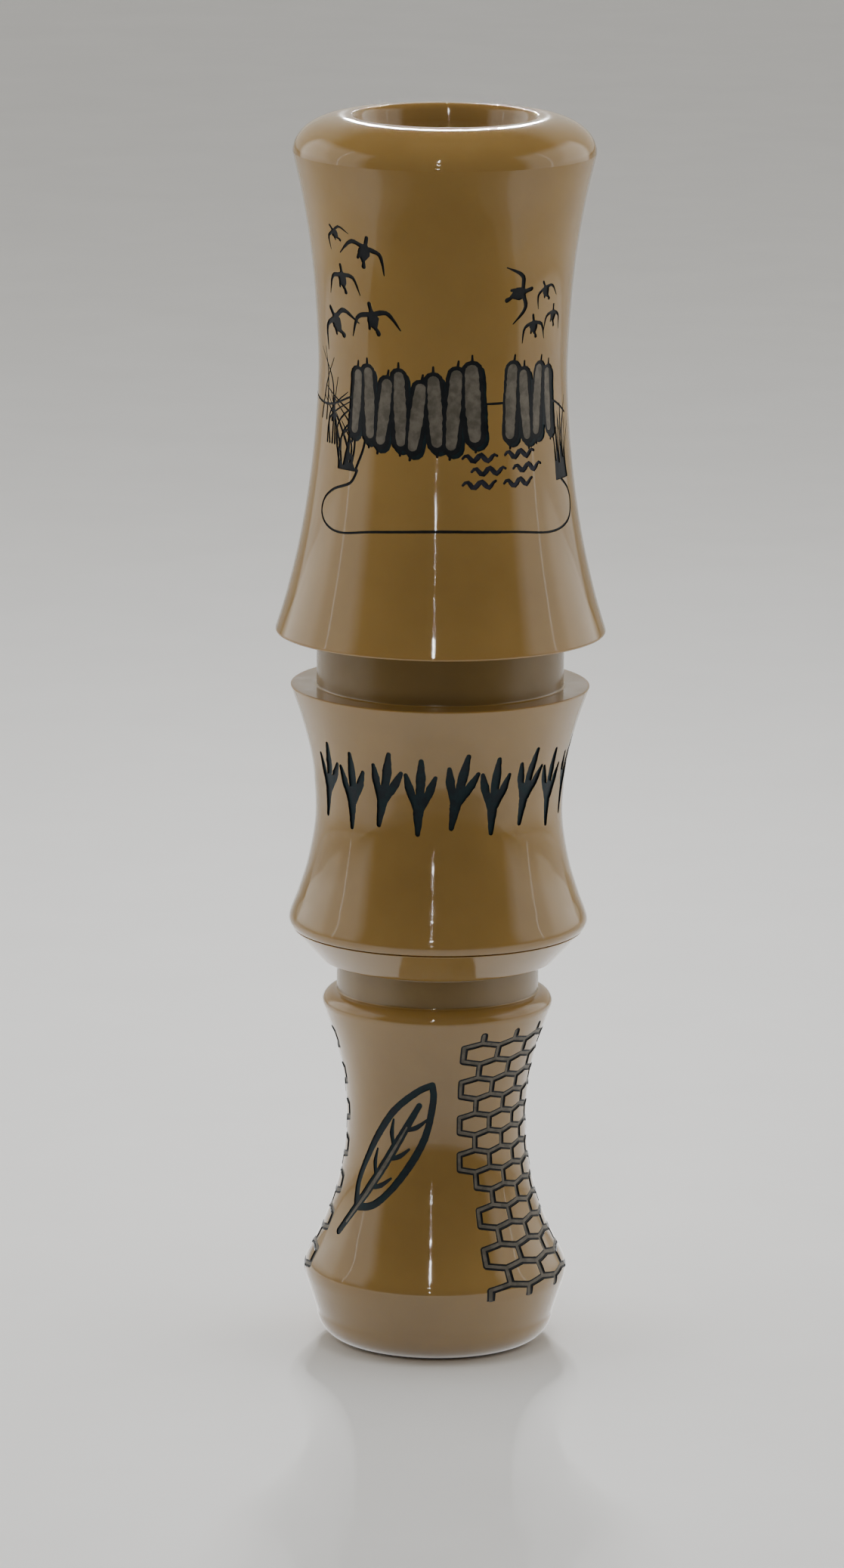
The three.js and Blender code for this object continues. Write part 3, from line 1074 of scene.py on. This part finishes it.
def add_world():
    """A pale studio: bright low down behind the call, dim overhead and behind the camera."""
    world = bpy.data.worlds.new("studio")
    world.use_nodes = True
    tree = world.node_tree
    bearing = tree.nodes.new("ShaderNodeTexCoord")
    parts = tree.nodes.new("ShaderNodeSeparateXYZ")
    tree.links.new(bearing.outputs["Generated"], parts.inputs["Vector"])
    x, y, z = parts.outputs
    sideways = calculate(tree, "MULTIPLY_ADD", calculate(tree, "ABSOLUTE", x), 3.0, 1.0)
    behind = calculate(tree, "MULTIPLY", y, sideways)
    low_behind = calculate(tree, "MULTIPLY_ADD", z, -1.1, behind)
    strength = spread(tree, low_behind, 0.14, 0.8, 0.35, 0.85)
    background = tree.nodes["Background"]
    set_inputs(background, {"Color": (1.0, 0.95, 0.84, 1)})
    tree.links.new(strength, background.inputs["Strength"])
    bpy.context.scene.world = world


def small_lamp(elevation, size, radiance):
    """A little rectangular lamp a metre from the object, at an angle seen from its middle."""
    up, turn = math.radians(elevation), math.radians(LAMP_BEARING)
    aim = Vector((0, 0, LAMP_AIM_HEIGHT))
    offset = (math.cos(up) * math.sin(turn), -math.cos(up) * math.cos(turn), math.sin(up))
    area_light("lamp", aim + Vector(offset), aim, size, radiance)


def led(place, watts, size):
    """A tiny lamp that shows as a glint in the gloss and adds nothing to the colour."""
    data = bpy.data.lights.new("led", "POINT")
    data.energy = watts
    data.shadow_soft_size = size
    light = new_object("led", data)
    light.location = place
    light.visible_camera = False
    light.visible_diffuse = False


def rim_leds(watts):
    """A curved row of tiny lamps behind the call, which its rim mirrors as a bright line."""
    rise = math.radians(RIM_VIEW_RISE)
    view = Vector((0, -math.cos(rise), math.sin(rise)))
    level, upright = math.sin(math.radians(RIM_TILT)), math.cos(math.radians(RIM_TILT))
    for degrees in range(-77, 78, 11):
        turn = math.radians(degrees)
        normal = Vector((level * math.sin(turn), -level * math.cos(turn), upright))
        toward = 2 * normal.dot(view) * normal - view
        led(Vector((0, 0, TOP_Z * MM)) + toward * RIM_LED_DISTANCE, watts, 0.001)


def led_column(count, low, high, watts):
    """An upright row of tiny lamps in front of the call."""
    turn = math.radians(LAMP_BEARING)
    for height in np.linspace(low, high, count):
        led((math.sin(turn), -math.cos(turn), height), watts, 0.003)


def add_tent_side(side):
    """One side of the tent: layers that make a soft edge, and a bright seam near the front.

    Its outside lights the floor beyond, which would otherwise stop being bright at a sharp line.
    """
    x, y, z = TENT_PLACE
    for index in range(TENT_LAYERS):
        place = ((x + 0.001 * index) * side, y, z)
        size = [full - step * index for full, step in zip(TENT_SIZE, TENT_SHRINK)]
        area_light("tent_side", place, (0, y, z), size, TENT_RADIANCE)
    area_light("tent_seam", (0.415 * side, -0.02, 0.26), (0, -0.02, 0.26), (0.006, 0.45), 3.0)
    outside = area_light("tent_outside", (0.43 * side, y, 0.22), (side, y, 0.22), (0.68, 0.44), 1.4)
    outside.visible_glossy = False


def add_floor_glare():
    """Soft light from the floor round the call, which only its gloss shows."""
    for index in range(GLARE_LAYERS):
        place = (0, 0, 0.0002 + 0.0001 * index)
        size = [full + step * index for full, step in zip(GLARE_SIZE, GLARE_GROWTH)]
        glare = area_light("floor_glare", place, (0, 0, 1), size, GLARE_RADIANCE)
        glare.visible_diffuse = False


def add_lights():
    """A light tent with bright sides and a dark gap at the front, and lamps overhead."""
    for side in (-1, 1):
        add_tent_side(side)
    area_light("tent_top", (0, 2.3, 1.5), (0, 1.9, 0), (3.0, 1.4), 1.0).visible_glossy = False
    add_floor_glare()
    area_light("top_fill", (0, 0, 1.3), (0, 0, 0), (0.6, 0.6), 5.5).visible_glossy = False
    rim_leds(1.2)
    led_column(30, 0.1, 1.3, 0.05)
    for elevation, size, radiance in SMALL_LAMPS:
        small_lamp(elevation, size, radiance)


# --- Pieces ---


def radius_along(points):
    """The radius of a turned stretch at any height."""
    order = np.argsort(points[:, 1])
    return lambda height: float(np.interp(height, points[order, 1], points[order, 0]))


def leave_satin_painted_shade(obj, satin_painted_shade, low, high, reach):
    """A turned groove that wasn't polished: its faces between two heights take the satin look,
    which is rougher and whose darker colour is painted shade.
    """
    obj.data.materials.append(satin_painted_shade)
    slot = len(obj.data.materials) - 1
    for polygon in obj.data.polygons:
        x, y, z = polygon.center / MM
        if low < z < high and BORE_R + 1 < math.hypot(x, y) < reach:
            polygon.material_index = slot


def finish_piece(obj, node, body):
    """Shows the piece in place of a CAD node, and lets it ride on a body."""
    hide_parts(node)
    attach(obj, body)


def make_barrel(look, satin_painted_shade, inks):
    """The barrel, with the marsh on its waist and footprints round its spool."""
    runs = barrel_outline()
    barrel = revolve("barrel_shell", runs, [look])
    spool, waist = runs[SPOOL_RUN][0], runs[WAIST_RUN][0]
    engrave(barrel, barrel_scene(inks), BARREL_REFERENCE, radius_along(waist))
    engrave(barrel, spool_scene(inks), SPOOL_REFERENCE, radius_along(spool))
    clean_cuts(barrel)
    turned_normals(barrel, runs)
    # The groove under the flare takes the satin look, whose darker colour is painted shade.
    leave_satin_painted_shade(barrel, satin_painted_shade, LEDGE_Z + 0.1, FLARE_FACE_Z + 0.1, FLARE_R - 0.5)
    finish_piece(barrel, "barrel", "barrel")


def make_bell(look, satin_painted_shade, inks):
    """The bell of the insert, with a feather and a patch of honeycomb."""
    runs = bell_outline()
    bell = revolve("bell", runs, [look], facets=BELL_FACETS)
    flank = radius_along(runs[BELL_RUN][0])
    engrave(bell, feather(inks), BELL_REFERENCE, flank)
    engrave(bell, honeycomb(inks), BELL_REFERENCE, flank)
    clean_cuts(bell)
    turned_normals(bell, runs)
    # The groove under the shoulder takes the satin look, whose darker colour is painted shade.
    leave_satin_painted_shade(bell, satin_painted_shade, BELL_GROOVE_Z + 0.1, SHOULDER_FOOT_Z - 0.4, BELL_LIP_R)
    finish_piece(bell, "insert_bell", "insert")


def facing_out(obj):
    """Turns all faces outward."""
    mesh = bmesh.new()
    mesh.from_mesh(obj.data)
    bmesh.ops.recalc_face_normals(mesh, faces=mesh.faces)
    mesh.to_mesh(obj.data)
    mesh.free()
    return obj


def prism(name, outline_points, low, high, place):
    """A closed prism with its faces outward; place maps (u, v, level) to a point."""
    vertices = [place(u, v, level) for level in (low, high) for u, v in outline_points]
    rings = rings_of(len(vertices), len(outline_points))
    faces = [rings[0][::-1], rings[1]] + ring_faces(rings)
    return facing_out(mesh_object(name, vertices, faces))


def undercut_z(y):
    """The height of the notch's slanting end, at a distance y behind the axis."""
    return NOTCH_Z + UNDERCUT_RISE * (BOARD_FACE_Y - y)


def reed_space():
    """Everything above the board's reed face, which curves away toward the tip."""
    points = [(y, undercut_z(y)) for y in (-CUT_REACH, BOARD_FACE_Y)]
    for part in np.linspace(0, 1, 60):
        height = CLAMP_END_Z + part * (BOARD_TIP_Z - CLAMP_END_Z)
        points.append((BOARD_FACE_Y + BOARD_DROP * part**2, height))
    points.append((BOARD_FACE_Y + BOARD_DROP, BOARD_TIP_Z + 1))
    points.append((-CUT_REACH, BOARD_TIP_Z + 1))
    return prism("space", points, -CUT_REACH, CUT_REACH, lambda y, z, x: (x, y, z))


def channel(low, high, open_side):
    """The air bore, or the trough that opens to the board's face."""
    turn = math.pi if open_side else 2 * math.pi
    angles = np.linspace(0, turn, 49)[: None if open_side else -1]
    points = [(CHANNEL_R * math.cos(a), CHANNEL_Y + CHANNEL_R * math.sin(a)) for a in angles]
    if open_side:
        points += [(-CHANNEL_R, BOARD_FACE_Y - 1), (CHANNEL_R, BOARD_FACE_Y - 1)]
    return prism("channel", points, low, high, lambda x, y, z: (x, y, z))


def shade(obj, angle=35):
    """Shades smooth, apart from edges sharper than an angle."""
    obj.data.shade_smooth()
    obj.data.set_sharp_from_angle(angle=math.radians(angle))


def soften(obj, width, angle=35):
    """Rounds sharp edges a little and shades the rest smooth."""
    bevel = obj.modifiers.new("soften", "BEVEL")
    bevel.width = width * MM
    bevel.segments = 2
    bevel.limit_method = "ANGLE"
    bevel.angle_limit = math.radians(angle)
    bevel.harden_normals = True
    apply_modifier(obj, bevel)
    shade(obj, angle)


def make_board(look):
    """The tone board: the turned blank, less the reeds' space, the bore and the open trough."""
    board = revolve("tone_board_body", keg_outline(), [look], facets=BOARD_FACETS)
    apply_boolean(board, reed_space())
    apply_boolean(board, channel(SPIGOT_END_Z - 1, NOTCH_Z + 3, False))
    apply_boolean(board, channel(NOTCH_Z + 0.5, CHANNEL_END_Z, True))
    shade(board)
    finish_piece(board, "tone_board", "insert")


def make_o_ring(node, look):
    """A round rubber ring."""
    low, high = node_box(node)
    middle = (low.z + high.z) / 2
    angles = np.linspace(0, 2 * math.pi, 33)
    radii = O_RING_CENTRE_R + O_RING_SECTION_R * np.cos(angles)
    heights = middle + O_RING_SECTION_R * np.sin(angles)
    section = np.stack([radii, heights], axis=1)
    ring = revolve(node + "_seal", [(section, tangents(section))], [look], facets=RING_FACETS)
    ring.data.shade_smooth()
    finish_piece(ring, node, "o_rings")


def reed_section(width, low_y, high_y, edge):
    """A strip's cross-section, with its four long edges cut off."""
    inner = width - edge
    top = [(-width, high_y - edge), (-inner, high_y), (inner, high_y), (width, high_y - edge)]
    return top + [(width, low_y + edge), (inner, low_y), (-inner, low_y), (-width, low_y + edge)]


def make_reed(node, look):
    """A film strip with clipped corners, straight from the clamp to its free end."""
    low, high = node_box(node)
    clip_z = high.z - REED_CLIP
    edge = min(REED_EDGE, (high.y - low.y) / 3)
    heights = np.concatenate([np.linspace(low.z, clip_z, 72), np.linspace(clip_z, high.z, 7)[1:]])
    vertices = []
    for height in heights:
        section = reed_section(high.x - max(0.0, height - clip_z), low.y, high.y, edge)
        vertices += [(x, y, height) for x, y in section]
    rings = rings_of(len(vertices), len(section))
    faces = ring_faces(rings) + [rings[0], rings[-1][::-1]]
    reed = facing_out(mesh_object(node + "_film", vertices, faces, [look]))
    shade(reed, 30)
    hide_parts(node)
    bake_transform(reed)


def make_wedge(look):
    """The cork wedge: flat on the reeds, round outside, and cut to fit under the notch."""
    low, high = node_box("reed_wedge")
    half = high.x
    radius = -low.y
    edge = math.asin(half / radius)
    points = [(half, high.y), (-half, high.y)]
    for angle in np.linspace(-edge, edge, 24):
        points.append((radius * math.sin(angle), -radius * math.cos(angle)))
    wedge = prism("wedge", points, NOTCH_Z, high.z, lambda x, y, z: (x, y, z))
    wedge.data.materials.append(look)
    keep = [(y, undercut_z(y) + WEDGE_GAP) for y in (-CUT_REACH, 0)]
    keep += [(0, high.z + 1), (-CUT_REACH, high.z + 1)]
    kept = prism("kept", keep, -CUT_REACH, CUT_REACH, lambda y, z, x: (x, y, z))
    apply_boolean(wedge, kept, "INTERSECT")
    soften(wedge, 0.18)
    finish_piece(wedge, "reed_wedge", "wedge")


# --- The scene ---

random.seed(SEED)
add_camera()
add_floor()
add_world()
add_lights()

caramel = acrylic("caramel_acrylic", (0.335, 0.205, 0.06), (0.275, 0.165, 0.046), (0.035, 0.08))
# The satin look of the grooves: rougher than the polish, and darker in colour as painted shade.
satin_painted_shade = acrylic("satin_acrylic_painted_shade", (0.22, 0.14, 0.04), (0.17, 0.105, 0.03), (0.16, 0.26), 2.0)
board_look = acrylic("board_acrylic", (0.3, 0.18, 0.055), (0.24, 0.14, 0.042), (0.25, 0.38), 1.0)
inks = {
    "dark": ink("ink_dark", (0.009, 0.01, 0.012), (0.002, 0.004, 0.006), 0.55),
    "grey": ink("ink_grey", (0.17, 0.15, 0.12), (0.1, 0.09, 0.07), 0.5),
    "teal": ink("ink_teal", (0.004, 0.016, 0.02), (0.002, 0.006, 0.01), 0.5),
    "blue": ink("ink_blue", (0.03, 0.03, 0.045), (0.006, 0.008, 0.016), 0.5),
}
make_barrel(caramel, satin_painted_shade, inks)
make_bell(caramel, satin_painted_shade, inks)
make_board(board_look)
for ring_node in O_RINGS:
    make_o_ring(ring_node, rubber())
film = mylar()
make_reed("lower_reed", film)
make_reed("upper_reed", film)
make_wedge(cork())
